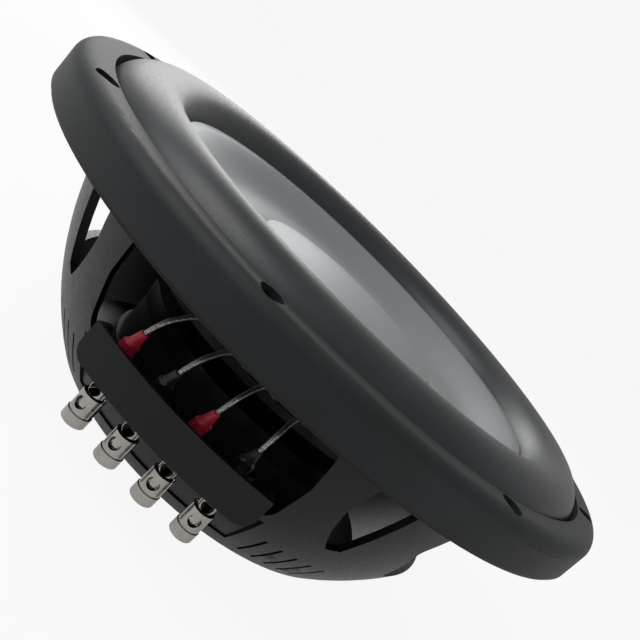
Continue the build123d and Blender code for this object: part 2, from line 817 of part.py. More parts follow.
def make_post(angle):
    """Fixed post with a stud, the wire hole, a hole for the stop pin and a bore for the spring."""
    shoulder = panel_bottom - bush_thickness
    stud_top = panel_top + tab_thickness + nut_height + stud_stand_out
    with BuildPart() as post:
        with BuildSketch(spot_plane(angle, terminal_circle, panel_bottom - post_drop)):
            Circle(post_radius)
        extrude(amount=post_drop - bush_thickness)
        with BuildSketch(spot_plane(angle, terminal_circle, shoulder)):
            Circle(stud_radius)
        extrude(amount=stud_top - shoulder)
        with BuildSketch(spot_plane(angle, terminal_circle, panel_bottom - post_drop)):
            Circle(spring_radius + spring_wire / 2 + 2 * fit)
        extrude(amount=post_drop - spring_seat_drop, mode=Mode.SUBTRACT)
        with BuildSketch(cross_hole(angle, wire_hole_drop, False)):
            Circle(wire_hole)
        extrude(amount=2 * post_radius, both=True, mode=Mode.SUBTRACT)
        with BuildSketch(cross_hole(angle, stop_pin_drop, True)):
            Circle(stop_pin + fit)
        extrude(amount=2 * post_radius, both=True, mode=Mode.SUBTRACT)
    return post.part


def make_push_cap(angle):
    """Sliding barrel: when it is pushed in, its window meets the wire hole in the post."""
    cap_end = panel_bottom - cap_end_drop
    mouth = panel_bottom - cap_mouth_drop
    with BuildPart() as push_cap:
        with BuildSketch(wheel_plane(angle)) as section:
            with Locations((terminal_circle, 0)):
                Polygon(
                    (0, cap_end),
                    (cap_end_radius, cap_end),
                    (cap_end_radius, cap_end + cap_end_height),
                    (cap_tube_radius - cap_groove, cap_end + cap_end_height),
                    (cap_tube_radius - cap_groove, cap_end + cap_end_height + cap_groove),
                    (cap_tube_radius, cap_end + cap_end_height + cap_groove),
                    (cap_tube_radius, mouth),
                    (cap_tube_radius - cap_mouth_rim, mouth),
                    (post_radius + running_gap, mouth - cap_mouth_depth),
                    (post_radius + running_gap, cap_end + cap_end_wall),
                    (0, cap_end + cap_end_wall),
                    align=None,
                )
            fillet(section.vertices().group_by(Axis.Y)[0].sort_by(Axis.X)[-1], cap_end_rounding)
        revolve(axis=Axis(spot_plane(angle, terminal_circle, 0).origin, (0, 0, 1)))
        with BuildSketch(cross_hole(angle, window_drop, False)):
            Circle(wire_hole + fit)
        extrude(amount=2 * cap_tube_radius, both=True, mode=Mode.SUBTRACT)
        with BuildSketch(cross_hole(angle, stop_pin_drop + push_travel / 2, True)):
            SlotOverall(push_travel + 2 * (stop_pin + fit), 2 * (stop_pin + fit), rotation=90)
        extrude(amount=2 * cap_tube_radius, both=True, mode=Mode.SUBTRACT)
    return push_cap.part


def make_spring(angle):
    """Compression spring between the floor of the push cap and the bore in the post."""
    centre = spot_plane(angle, terminal_circle, 0).origin
    low = panel_bottom - cap_end_drop + cap_end_wall + spring_wire
    high = panel_bottom - spring_seat_drop - spring_wire
    with BuildPart() as spring:
        with BuildLine() as coil:
            turn_height = (high - low) / spring_turns
            Helix(turn_height, high - low, spring_radius, center=(centre.X, centre.Y, low))
        with BuildSketch(Plane(origin=coil.line @ 0, z_dir=coil.line % 0)):
            Circle(spring_wire / 2)
        sweep(path=coil.line, is_frenet=True)
    return spring.part


def tab_plane(angle, turn, height):
    """Horizontal plane at a terminal's axis: local x runs to the tab's blade."""
    to_blade = radians(angle + 180 + turn)
    origin = spot_plane(angle, terminal_circle, height).origin
    return Plane(origin=origin, x_dir=(cos(to_blade), sin(to_blade), 0), z_dir=(0, 0, 1))


def blade_plane(angle, turn, along):
    """Plane across a tab's blade: local x runs across the blade and z along it, away from the bend."""
    flat = tab_plane(angle, turn, panel_top + tab_thickness / 2)
    lean = radians(tab_lean)
    up_blade = flat.z_dir * cos(lean) - flat.x_dir * sin(lean)
    bend = flat.origin + flat.x_dir * tab_bend
    return Plane(origin=bend + up_blade * along, x_dir=flat.y_dir, z_dir=up_blade)


def make_tab(angle, turn):
    """Flat tab with an eye under the nut; its blade stands up beside the nut and leans back over it."""
    with BuildPart() as tab:
        with BuildSketch(tab_plane(angle, turn, panel_top)):
            Circle(tab_ring)
            Rectangle(tab_bend, tab_width, align=(Align.MIN, Align.CENTER))
            Circle(stud_radius + fit, mode=Mode.SUBTRACT)
        extrude(amount=tab_thickness)
        with BuildSketch(blade_plane(angle, turn, 0)):
            Rectangle(tab_width, tab_thickness)
        extrude(amount=tab_length)
    return tab.part


def make_sleeve(angle, turn):
    """Vinyl sleeve of the push-on connector, hollow for the blade and for the end of its lead."""
    shoulder = sleeve_start + sleeve_body
    barrel = shoulder + sleeve_shoulder
    neck = sleeve_start + sleeve_length
    with BuildPart() as vinyl:
        with BuildSketch(blade_plane(angle, turn, sleeve_start)):
            RectangleRounded(sleeve_width, sleeve_thickness, sleeve_rounding)
        extrude(amount=sleeve_body)
        with BuildSketch(blade_plane(angle, turn, shoulder)):
            RectangleRounded(sleeve_width, sleeve_thickness, sleeve_rounding)
        with BuildSketch(blade_plane(angle, turn, barrel)):
            RectangleRounded(sleeve_barrel_width, sleeve_barrel_thickness, sleeve_rounding)
        loft()
        with BuildSketch(blade_plane(angle, turn, barrel)):
            RectangleRounded(sleeve_barrel_width, sleeve_barrel_thickness, sleeve_rounding)
        with BuildSketch(blade_plane(angle, turn, neck)):
            Circle(sleeve_neck)
        loft()
        with BuildSketch(blade_plane(angle, turn, sleeve_start)):
            Rectangle(tab_width + 2 * fit, tab_thickness + 2 * fit)
        extrude(amount=tab_length - sleeve_start + fit, mode=Mode.SUBTRACT)
        with BuildSketch(blade_plane(angle, turn, neck)):
            Circle(lead_radius + fit)
        extrude(amount=-lead_depth, mode=Mode.SUBTRACT)
    return vinyl.part


# ---------------------------------------------------------------- braided leads
def lead_route(angle, turn):
    """Points of a lead: out of its sleeve, over a hump, and in under the cone to its rivet."""
    neck = sleeve_start + sleeve_length
    points = [blade_plane(angle, turn, neck + along).origin for along in (-lead_depth, lead_straight)]
    for radius, round_about, height in lead_points:
        points.append(spot_plane(angle + round_about, radius, height).origin)
    points.append(spot_plane(angle + lead_turn, eyelet_circle, eyelet_base - 2 * glue).origin)
    return points


def corner_radii(points):
    """The largest arc that each corner of a route has room for."""
    radii = []
    for before, corner, after in zip(points, points[1:], points[2:]):
        turn = radians((corner - before).get_angle(after - corner))
        shorter = min((corner - before).length, (after - corner).length)
        radii.append(corner_share * shorter / tan(turn / 2))
    return radii


def make_lead(angle, turn):
    """Round lead of straight runs joined by arcs."""
    points = lead_route(angle, turn)
    radii = corner_radii(points)
    print("lead corner radii", [round(radius, 1) for radius in radii])
    with BuildPart() as lead:
        with BuildLine() as path:
            FilletPolyline(*points, radius=radii)
        with BuildSketch(Plane(origin=path.line @ 0, z_dir=path.line % 0)):
            Circle(lead_radius)
        sweep(path=path.line)
    route_length = sum(edge.length for edge in path.line.edges())
    by_volume = lead.part.volume / (pi * lead_radius**2)
    print("lead length", round(route_length, 2), "and from its volume", round(by_volume, 2))
    return lead.part


for number, (angle, turn) in enumerate(zip(terminal_angles, tab_turns), start=1):
    finish(make_bush(angle), f"terminal_bush_{number}")
    finish(make_post(angle), f"terminal_post_{number}")
    finish(make_push_cap(angle), f"push_cap_{number}")
    finish(make_spring(angle), f"push_spring_{number}")
    finish(make_tab(angle, turn), f"terminal_tab_{number}")
    finish(make_sleeve(angle, turn), f"connector_sleeve_{number}")
    finish(make_lead(angle, turn), f"tinsel_lead_{number}")

with BuildPart() as terminal_nuts:
    for angle in terminal_angles:
        with BuildSketch(spot_plane(angle, terminal_circle, panel_top + tab_thickness)):
            RegularPolygon(nut_flats / 2, 6, major_radius=False, rotation=30)
            Circle(stud_radius + fit, mode=Mode.SUBTRACT)
        extrude(amount=nut_height)
finish(terminal_nuts.part, "terminal_nuts")

with BuildPart() as stop_pins:
    for angle in terminal_angles:
        with BuildSketch(cross_hole(angle, stop_pin_drop, True)):
            Circle(stop_pin)
        extrude(amount=cap_tube_radius - fit, both=True)
finish(stop_pins.part, "stop_pins")
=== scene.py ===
import json
from math import atan2, cos, pi, radians, sin

import bmesh
import bpy
import numpy as np
from mathutils import Matrix, Vector


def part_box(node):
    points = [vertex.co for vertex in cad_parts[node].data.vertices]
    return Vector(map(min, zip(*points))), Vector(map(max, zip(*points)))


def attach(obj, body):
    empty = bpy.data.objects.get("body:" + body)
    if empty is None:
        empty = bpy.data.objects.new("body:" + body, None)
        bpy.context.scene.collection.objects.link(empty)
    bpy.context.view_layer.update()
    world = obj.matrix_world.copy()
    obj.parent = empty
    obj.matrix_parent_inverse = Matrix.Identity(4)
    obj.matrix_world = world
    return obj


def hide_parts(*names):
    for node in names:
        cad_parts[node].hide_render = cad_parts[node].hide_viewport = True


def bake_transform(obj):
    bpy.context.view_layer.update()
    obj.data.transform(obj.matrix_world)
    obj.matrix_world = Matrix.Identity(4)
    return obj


# Looks of a shallow car subwoofer around its CAD frame. Metres; MM turns millimetres into them.
MM = 0.001

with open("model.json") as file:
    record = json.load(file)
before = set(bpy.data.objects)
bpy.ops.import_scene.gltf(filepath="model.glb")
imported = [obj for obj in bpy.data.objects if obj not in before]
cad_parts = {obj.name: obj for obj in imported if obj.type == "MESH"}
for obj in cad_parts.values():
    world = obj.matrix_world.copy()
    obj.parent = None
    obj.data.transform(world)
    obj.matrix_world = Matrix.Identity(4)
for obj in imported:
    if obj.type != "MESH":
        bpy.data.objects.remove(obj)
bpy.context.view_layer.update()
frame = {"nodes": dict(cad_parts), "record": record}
nodes = frame["nodes"]
FRAME_BODY = "frame"
CONE_BODY = "cone_assembly"


# ---------------------------------------------------------------- places read from the frame, millimetres
def corners(node):
    """Lowest and highest corner of a CAD node in millimetres."""
    low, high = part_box(node)
    return np.array(low) / MM, np.array(high) / MM


def middle(node):
    """Middle of a CAD node's box in millimetres."""
    low, high = corners(node)
    return (low + high) / 2


face_height = corners("trim_ring")[1][2]
foot_radius = corners("surround")[1][0]
foot_bottom = corners("surround")[0][2]
roll_crown = corners("surround")[1][2]
cone_radius = corners("cone")[1][0]
cone_rim = corners("cone")[1][2]
cap_radius = corners("dust_cap")[1][0]
cap_top = corners("dust_cap")[1][2]
spider_outer = corners("spider")[1][0]
spider_middle = middle("spider")[2]
former_outside = corners("voice_coil_former")[1][0]
eyelet_low = corners("lead_eyelets")[0][2]

# ---------------------------------------------------------------- sizes that the frame doesn't give
RUBBER = 1.6                   # thickness of the surround
ROLL_CENTRE = 122.2            # radius of the half roll's centre circle
CONE_LIP_HEIGHT = 5.7          # surround's inner lip above its foot
CONE_LIP_RADIUS = 100.4
CONE_WALL = 1.2
DISH_FLOOR = (60.0, 12.8)      # radius, and depth below the rim
DISH_MIDDLE = (76.0, 10.6)
CONE_RIM_WIDTH = 4.4
NECK_HEIGHT = 76.0             # where the cone meets the former
CAP_CROWN = 3.2
CAP_WALL = 1.2
TERMINALS = (1, 2, 3, 4)
TAB_TURNS = (70.0, 60.0, 45.0, 10.0)  # degrees that each tab is turned from the speaker's axis
TAB_LEAN = radians(12)
TAB_BEND = 5.8                 # from the terminal's axis to the bend
TAB_THICKNESS = 0.8
SLEEVE_START = 4.6             # above the bend
SLEEVE_SHOULDER = 10.2
SLEEVE_BARREL = 11.4
SLEEVE_NECK = 16.6
SPRING_RADIUS = 2.0
SPRING_WIRE = 0.55
SPRING_TURNS = 5
LEAD_DEPTH = 3.0               # length of a lead inside its sleeve
LEAD_STRAIGHT = 6.0
LEAD_RADIUS = 0.95
LEAD_TURN = 9.0                # degrees that a lead moves round on its way to the cone
EYELET_CIRCLE = 46.0
SPIDER_CLOTH = 0.8
SPIDER_WAVES = 5
SPIDER_WAVE_HEIGHT = 1.2
SPIDER_COLLAR = 3.0            # flat collar at the former
SPIDER_FOOT = 7.0              # flat foot on its ring
GLUE = 0.3                     # flexible joint between the spider and the former


# ---------------------------------------------------------------- numpy shapes
def mesh_object(name, points, faces, uv=None):
    """A piece from its vertices in millimetres and its faces, smooth but for edges over 38 degrees."""
    mesh = bpy.data.meshes.new(name)
    mesh.from_pydata((np.asarray(points) * MM).tolist(), [], np.asarray(faces).tolist())
    if uv is not None:
        layer = mesh.uv_layers.new(name="UVMap")
        layer.data.foreach_set("uv", np.asarray(uv, np.float32).ravel())
    mesh.validate()
    shell = bmesh.new()
    shell.from_mesh(mesh)
    bmesh.ops.remove_doubles(shell, verts=shell.verts, dist=1e-7)
    bmesh.ops.recalc_face_normals(shell, faces=shell.faces)
    shell.to_mesh(mesh)
    shell.free()
    mesh.polygons.foreach_set("use_smooth", np.ones(len(mesh.polygons), bool))
    mesh.set_sharp_from_angle(angle=radians(38))
    piece = bpy.data.objects.new(name, mesh)
    bpy.context.scene.collection.objects.link(piece)
    return piece


def grid_faces(rows, columns, wrap_rows=False, wrap_columns=True):
    """Quads of a grid of rows by columns, numbered row by row; either way round may close on itself."""
    row = np.arange(rows if wrap_rows else rows - 1)[:, None]
    column = np.arange(columns if wrap_columns else columns - 1)[None, :]
    next_row = (row + 1) % rows
    next_column = (column + 1) % columns
    quads = np.stack([
        row * columns + column,
        row * columns + next_column,
        next_row * columns + next_column,
        next_row * columns + column,
    ], axis=-1)
    return quads.reshape(-1, 4)


def grid_uv(rows, columns, wrap_rows, wrap_columns, high, wide):
    """Corner UVs for grid_faces: u runs along the rows from 0 to wide and v along the columns to high."""
    row = np.arange(rows if wrap_rows else rows - 1)[:, None]
    column = np.arange(columns if wrap_columns else columns - 1)[None, :]
    row, column = np.broadcast_arrays(row, column)
    corner_rows = np.stack([row, row, row + 1, row + 1], axis=-1) / (rows - 1) * high
    corner_columns = np.stack([column, column + 1, column + 1, column], axis=-1) / columns * wide
    return np.stack([corner_rows, corner_columns], axis=-1).reshape(-1, 2)


def turned(name, outline, centre=(0.0, 0.0), steps=256):
    """A closed outline of (radius, height) turned about a vertical line: x = cx + r cos t and
    y = cy + r sin t."""
    outline = np.asarray(outline, float)
    turn = np.linspace(0, 2 * pi, steps, endpoint=False)
    radius = outline[:, 0][:, None]
    x = centre[0] + radius * np.cos(turn)
    y = centre[1] + radius * np.sin(turn)
    z = np.broadcast_to(outline[:, 1][:, None], x.shape)
    points = np.stack([x, y, z], axis=-1).reshape(-1, 3)
    return mesh_object(name, points, grid_faces(len(outline), steps, wrap_rows=True))


def rounded(corner_list, steps=6):
    """Closed outline through corners (across, up, rounding). The rounding's arc touches both sides:
    its centre is on the corner's bisector, rounding / sin(half angle) from the corner."""
    places = np.array([corner[:2] for corner in corner_list], float)
    arcs = []
    for number, corner in enumerate(corner_list):
        here = places[number]
        back = places[number - 1] - here
        ahead = places[(number + 1) % len(places)] - here
        back = back / np.linalg.norm(back)
        ahead = ahead / np.linalg.norm(ahead)
        half = np.arccos(np.clip(back @ ahead, -1, 1)) / 2
        if corner[2] == 0 or half > pi / 2 - 0.01:
            arcs.append(here[None])
            continue
        bisector = (back + ahead) / np.linalg.norm(back + ahead)
        centre = here + bisector * corner[2] / sin(half)
        start = here + back * corner[2] / np.tan(half) - centre
        end = here + ahead * corner[2] / np.tan(half) - centre
        sweep = atan2(start[0] * end[1] - start[1] * end[0], start @ end)
        angle = np.linspace(0, sweep, steps + 1)
        across = start[0] * np.cos(angle) - start[1] * np.sin(angle)
        up = start[0] * np.sin(angle) + start[1] * np.cos(angle)
        arcs.append(centre + np.stack([across, up], axis=-1))
    return np.concatenate(arcs)


def arc(centre, radius, start, end, steps):
    """Points on a circle from one angle to another, in degrees."""
    angle = np.radians(np.linspace(start, end, steps))
    return np.stack([centre[0] + radius * np.cos(angle), centre[1] + radius * np.sin(angle)], axis=-1)


def through(stations, steps=24):
    """Smooth curve through (across, up, slope) stations: a cubic between neighbours with their slopes."""
    parts = []
    for (x0, y0, m0), (x1, y1, m1) in zip(stations, stations[1:]):
        t = np.linspace(0, 1, steps, endpoint=False)
        width = x1 - x0
        up = (y0 * (1 + 2 * t) * (1 - t) ** 2 + m0 * width * t * (1 - t) ** 2
              + y1 * t**2 * (3 - 2 * t) + m1 * width * t**2 * (t - 1))
        parts.append(np.stack([x0 + width * t, up], axis=-1))
    parts.append(np.array([stations[-1][:2]]))
    return np.concatenate(parts)


def spline_points(name, control):
    """Points read from the smooth spline that has these control points, in millimetres."""
    curve = bpy.data.curves.new(name + "_route", "CURVE")
    curve.dimensions = "3D"
    curve.resolution_u = 40
    line = curve.splines.new("NURBS")
    line.points.add(len(control) - 1)
    line.points.foreach_set("co", np.column_stack([control * MM, np.ones(len(control))]).ravel())
    line.order_u = 3
    line.use_endpoint_u = True
    holder = bpy.data.objects.new(name + "_route", curve)
    mesh = bpy.data.meshes.new_from_object(holder)
    points = np.zeros(len(mesh.vertices) * 3)
    mesh.vertices.foreach_get("co", points)
    bpy.data.objects.remove(holder)
    bpy.data.curves.remove(curve)
    bpy.data.meshes.remove(mesh)
    return points.reshape(-1, 3) / MM


def along(points):
    """Distance run along a line up to each of its points."""
    return np.concatenate([[0], np.cumsum(np.linalg.norm(np.diff(points, axis=0), axis=1))])


def evenly(points, count):
    """The same line with its points spaced evenly."""
    run = along(points)
    target = np.linspace(0, run[-1], count)
    return np.stack([np.interp(target, run, points[:, k]) for k in range(3)], axis=-1)


def swept(name, path, sideways, across, up, wide=1.0):
    """A section carried along a path: at row i its column j lies across[i, j] sideways of the path and
    up[i, j] along the path's other normal. The rows at both ends close on the path."""
    tangent = np.gradient(path, axis=0)
    tangent /= np.linalg.norm(tangent, axis=1)[:, None]
    side = np.asarray(sideways, float) - (tangent @ np.asarray(sideways, float))[:, None] * tangent
    side /= np.linalg.norm(side, axis=1)[:, None]
    normal = np.cross(tangent, side)
    rings = path[:, None] + across[..., None] * side[:, None] + up[..., None] * normal[:, None]
    ends = [np.broadcast_to(path[k], rings[:1].shape) for k in (0, -1)]
    rings = np.concatenate([ends[0], rings, ends[1]])
    rows, columns = rings.shape[:2]
    uv = grid_uv(rows, columns, False, True, along(path)[-1], wide)
    return mesh_object(name, rings.reshape(-1, 3), grid_faces(rows, columns), uv)


# ---------------------------------------------------------------- materials
def linear(code):
    """A colour from its sRGB hex code, as the linear values that a shader takes."""
    parts = [int(code[k:k + 2], 16) / 255 for k in (1, 3, 5)]
    return [v / 12.92 if v <= 0.04045 else ((v + 0.055) / 1.055) ** 2.4 for v in parts] + [1.0]


def add_node(tree, kind, links=None, **settings):
    """Adds one node: settings name its properties or inputs, and links name the sockets that feed it."""
    node = tree.nodes.new(kind)
    for key, value in settings.items():
        if hasattr(node, key):
            setattr(node, key, value)
        else:
            node.inputs[key.replace("_", " ")].default_value = value
    for key, socket in (links or {}).items():
        tree.links.new(socket, node.inputs[key])
    return node


def new_material(name):
    """An empty material with a Principled shader, and its tree."""
    material = bpy.data.materials.new(name)
    material.use_nodes = True
    tree = material.node_tree
    shader = tree.nodes["Principled BSDF"]
    return material, tree, shader


def set_shader(shader, **values):
    """Sets a shader's plain numbers and colours by socket name."""
    for key, value in values.items():
        shader.inputs[key.replace("_", " ")].default_value = value


def object_place(tree):
    return add_node(tree, "ShaderNodeTexCoord").outputs["Object"]


def noise(tree, place, size, detail=3.0, roughness=0.55):
    """Noise whose blobs are about size millimetres across."""
    node = add_node(tree, "ShaderNodeTexNoise", {"Vector": place}, Scale=1 / (size * MM), Detail=detail)
    node.inputs["Roughness"].default_value = roughness
    return node.outputs["Fac"]


def ramp(tree, value, low, high, start=0.0, end=1.0):
    """Maps a value's range low..high onto start..end."""
    node = add_node(tree, "ShaderNodeMapRange", {"Value": value})
    for key, number in (("From Min", low), ("From Max", high), ("To Min", start), ("To Max", end)):
        node.inputs[key].default_value = number
    return node.outputs["Result"]


def blend_colours(tree, share, first, second):
    """Mixes two sRGB colours by a share from 0 to 1."""
    node = add_node(tree, "ShaderNodeMix", data_type="RGBA")
    tree.links.new(share, node.inputs["Factor"])
    colour_inputs = [socket for socket in node.inputs if socket.type == "RGBA"]
    for socket, code in zip(colour_inputs, (first, second)):
        socket.default_value = linear(code)
    return [socket for socket in node.outputs if socket.type == "RGBA"][0]


def bump(tree, shader, height, depth, strength=1.0):
    """Bump of a depth in millimetres from a height between 0 and 1."""
    node = add_node(tree, "ShaderNodeBump", {"Height": height}, Strength=strength, Distance=depth * MM)
    tree.links.new(node.outputs["Normal"], shader.inputs["Normal"])


def moulded_rubber(name, dark, light, roughness, grain, depth, sheen, gloss):
    """Moulded rubber: the mould's fine grain breaks up its broad soft highlight. It is a little uneven."""
    material, tree, shader = new_material(name)
    place = object_place(tree)
    blotches = ramp(tree, noise(tree, place, 26.0, 2.0), 0.35, 0.65)
    tree.links.new(blend_colours(tree, blotches, dark, light), shader.inputs["Base Color"])
    grains = noise(tree, place, grain, 2.0, 0.6)
    uneven = ramp(tree, grains, 0.3, 0.7, roughness - 0.06, roughness + 0.06)
    tree.links.new(uneven, shader.inputs["Roughness"])
    set_shader(shader, IOR=1.52, Sheen_Weight=sheen, Sheen_Roughness=0.5, Specular_IOR_Level=gloss)
    bump(tree, shader, grains, depth)
    return material


def powder_coat(name, dark, light, roughness, grain, depth, gloss=0.3):
    """Powder coat or black plating on metal: near black, satin, with a slight orange peel."""
    material, tree, shader = new_material(name)
    place = object_place(tree)
    patches = ramp(tree, noise(tree, place, 30.0, 2.0), 0.35, 0.65)
    tree.links.new(blend_colours(tree, patches, dark, light), shader.inputs["Base Color"])
    peel = noise(tree, place, grain, 2.0, 0.5)
    uneven = ramp(tree, peel, 0.3, 0.7, roughness - 0.05, roughness + 0.07)
    tree.links.new(uneven, shader.inputs["Roughness"])
    set_shader(shader, IOR=1.5, Specular_IOR_Level=gloss)
    bump(tree, shader, peel, depth)
    return material


def silver_lacquer(name):
    """Injection moulded polypropylene sprayed with silver lacquer: metal flake gives soft satin highlights.
    Real flake is far finer than this 0.35 mm, which is as coarse as it needs to be to show at all."""
    material, tree, shader = new_material(name)
    place = object_place(tree)
    cloud = ramp(tree, noise(tree, place, 60.0, 1.0), 0.2, 0.8)
    tree.links.new(blend_colours(tree, cloud, "#8F9395", "#94989A"), shader.inputs["Base Color"])
    flake = noise(tree, place, 0.35, 1.0, 0.5)
    tree.links.new(ramp(tree, flake, 0.3, 0.7, 0.42, 0.54), shader.inputs["Roughness"])
    set_shader(shader, Metallic=0.45)
    bump(tree, shader, flake, 0.006)
    return material


def bright_metal(name, colour, roughness, wear):
    """Plated or drawn metal: a bright mirror with fine turning marks and slight handling haze."""
    material, tree, shader = new_material(name)
    place = object_place(tree)
    haze = noise(tree, place, 3.0, 3.0, 0.6)
    tree.links.new(ramp(tree, haze, 0.35, 0.7, roughness, roughness + wear), shader.inputs["Roughness"])
    tint = ramp(tree, noise(tree, place, 6.0, 2.0), 0.3, 0.7)
    tree.links.new(blend_colours(tree, tint, colour[0], colour[1]), shader.inputs["Base Color"])
    set_shader(shader, Metallic=1.0)
    fine = noise(tree, place, 0.5, 1.0)
    bump(tree, shader, fine, 0.0006)
    return material


def vinyl(name, dark, light):
    """Dip moulded vinyl: saturated, slightly translucent at its edges, with a soft gloss."""
    material, tree, shader = new_material(name)
    place = object_place(tree)
    streaks = ramp(tree, noise(tree, place, 2.5, 2.0), 0.3, 0.7)
    tree.links.new(blend_colours(tree, streaks, dark, light), shader.inputs["Base Color"])
    waves = noise(tree, place, 1.6, 2.0)
    tree.links.new(ramp(tree, waves, 0.3, 0.7, 0.32, 0.46), shader.inputs["Roughness"])
    set_shader(shader, IOR=1.53, Subsurface_Weight=0.08, Subsurface_Scale=0.001)
    bump(tree, shader, waves, 0.05)
    return material


def woven_cloth(name, dark, light, pitch):
    """Resin dipped cloth: threads over and under in both directions, at a real thread spacing."""
    material, tree, shader = new_material(name)
    place = object_place(tree)
    bands = []
    for direction in ("X", "Y"):
        node = add_node(tree, "ShaderNodeTexWave", {"Vector": place}, wave_type="BANDS",
                        bands_direction=direction, Scale=1 / (pitch * MM) / 3.2)
        bands.append(node.outputs["Fac"])
    threads = add_node(tree, "ShaderNodeMath", {0: bands[0], 1: bands[1]}, operation="MAXIMUM").outputs[0]
    tree.links.new(blend_colours(tree, threads, dark, light), shader.inputs["Base Color"])
    tree.links.new(ramp(tree, threads, 0, 1, 0.85, 0.6), shader.inputs["Roughness"])
    bump(tree, shader, threads, 0.15)
    return material


def tinsel_braid(name):
    """Tinned copper tinsel braid: bright wires in crossing bundles, with painted shade where the fine noise
    is low. There the colour is darker, the gloss duller and the bump lower, standing for the shaded gaps
    between the bundles.
    """
    material, tree, shader = new_material(name)
    place = object_place(tree)
    fibres = noise(tree, place, 0.5, 2.0, 0.7)
    # Painted shade: the dark end of this mix darkens the low points of the bump, standing for the shade in
    # the gaps between the wire bundles.
    shade = ramp(tree, fibres, 0.3, 0.7)
    tree.links.new(blend_colours(tree, shade, "#3E3C3A", "#BDBAB4"), shader.inputs["Base Color"])
    tree.links.new(ramp(tree, fibres, 0.3, 0.7, 0.5, 0.3), shader.inputs["Roughness"])
    set_shader(shader, Metallic=0.9)
    bump(tree, shader, fibres, 0.06)
    return material


MATERIALS = {
    "cast_basket": powder_coat("basket_satin_powder_coat", "#0A0A0B", "#101011", 0.36, 1.4, 0.03),
    "moulded_trim": moulded_rubber(
        "trim_grained_rubber", "#1A1D1F", "#202427", 0.58, 0.7, 0.03, 0.06, 0.3),
    "surround_rubber": moulded_rubber(
        "surround_butyl_rubber", "#1C2023", "#22272B", 0.42, 0.9, 0.003, 0.05, 0.45),
    "silver_cone": silver_lacquer("cone_silver_lacquer"),
    "coil_former": bright_metal("former_aluminium_foil", ("#C4C6C9", "#D2D4D6"), 0.28, 0.12),
    "copper_wire": bright_metal("winding_enamelled_copper", ("#A8552B", "#B96A3A"), 0.25, 0.15),
    "tinned_brass": bright_metal("tab_tinned_brass", ("#B9B4AA", "#CFCBC3"), 0.3, 0.15),
    "spider_cloth": woven_cloth("spider_dipped_cloth", "#17130F", "#2E2822", 0.9),
    "black_nylon": powder_coat("panel_moulded_nylon", "#0B0B0C", "#0F0F10", 0.46, 0.9, 0.02),
    "black_plated_steel": powder_coat("steel_black_zinc", "#17181A", "#1E1F22", 0.34, 1.0, 0.01),
    "ferrite": powder_coat("magnet_ground_ferrite", "#2A2A2C", "#333335", 0.62, 0.8, 0.03),
    "bare_aluminium": bright_metal("ring_turned_aluminium", ("#C9CBCD", "#D6D8DA"), 0.3, 0.1),
    "black_screw": powder_coat("screw_black_oxide", "#0D0D0E", "#151517", 0.4, 0.8, 0.01),
    "nickel_plate": bright_metal("terminal_bright_nickel", ("#A39E98", "#B3AEA8"), 0.05, 0.06),
    "spring_steel": bright_metal("spring_drawn_wire", ("#9A9A9B", "#ABABAC"), 0.25, 0.15),
    "red_vinyl": vinyl("sleeve_red_vinyl", "#C81B3A", "#DC2B4A"),
    "black_vinyl": vinyl("sleeve_black_vinyl", "#0E0E0F", "#19191A"),
    "silver_braid": tinsel_braid("lead_tinsel_braid"),
}

slot_of = {entry["node"]: entry["material_slot"] for entry in frame["record"]["subparts"]}
for node_name, node in nodes.items():
    node.data.materials.clear()
    node.data.materials.append(MATERIALS[slot_of[node_name]])


def dress(piece, slot, body, *stands_for):
    """Gives a new piece its material, its body and the CAD nodes that it stands for."""
    piece.data.materials.append(MATERIALS[slot])
    if body:
        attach(piece, body)
    if stands_for:
        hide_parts(*stands_for)
    return piece


def crossing(piece):
    """Bakes the piece's placement into its mesh and reads its vertices; nothing more is done with them."""
    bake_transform(piece)
    places = np.zeros(len(piece.data.vertices) * 3)
    piece.data.vertices.foreach_get("co", places)


# ---------------------------------------------------------------- surround
def surround_outline():
    """Half roll over its foot: an outer half circle, and the same circle smaller by the rubber inside."""
    landing = foot_bottom + RUBBER
    roll_radius = roll_crown - landing
    centre = (ROLL_CENTRE, landing)
    lip_face = landing + CONE_LIP_HEIGHT
    lip_angle = 180 - np.degrees(np.arcsin(CONE_LIP_HEIGHT / roll_radius))
    under_angle = 180 - np.degrees(np.arcsin((CONE_LIP_HEIGHT - RUBBER) / (roll_radius - RUBBER)))
    over = arc(centre, roll_radius, 3, lip_angle, 72)
    under = arc(centre, roll_radius - RUBBER, under_angle, 0, 60)
    lip = rounded([(over[-1][0], lip_face, 0), (CONE_LIP_RADIUS, lip_face, 0.5),
                   (CONE_LIP_RADIUS, lip_face - RUBBER, 0.5), (under[0][0], lip_face - RUBBER, 0)], 4)
    foot = rounded([(under[-1][0], foot_bottom, 0), (foot_radius, foot_bottom, 0.4),
                    (foot_radius, landing, 0.4), (centre[0] + roll_radius + 1.2, landing, 1.0)], 4)
    return np.concatenate([over, lip[1:-1], under, foot])


surround = turned("surround_roll", surround_outline(), steps=320)
dress(surround, "surround_rubber", None, "surround")
crossing(surround)


# ---------------------------------------------------------------- leads
def terminal(number):
    """A terminal's angle in radians and its radius, from its post."""
    place = middle(f"terminal_post_{number}")
    return atan2(place[1], place[0]), np.hypot(place[0], place[1])


tab_base = corners("terminal_tab_1")[0][2] + TAB_THICKNESS / 2


def blade_heading(number):
    """Direction from a terminal's axis to its tab's blade."""
    return terminal(number)[0] + pi + radians(TAB_TURNS[number - 1])


def blade_point(number, run):
    """A point on the middle line of a tab's blade, run millimetres from its bend. The blade leans back over
    its nut."""
    angle, radius = terminal(number)
    heading = blade_heading(number)
    out = TAB_BEND - run * sin(TAB_LEAN)
    return np.array([radius * cos(angle) + out * cos(heading), radius * sin(angle) + out * sin(heading),
                     tab_base + run * cos(TAB_LEAN)])


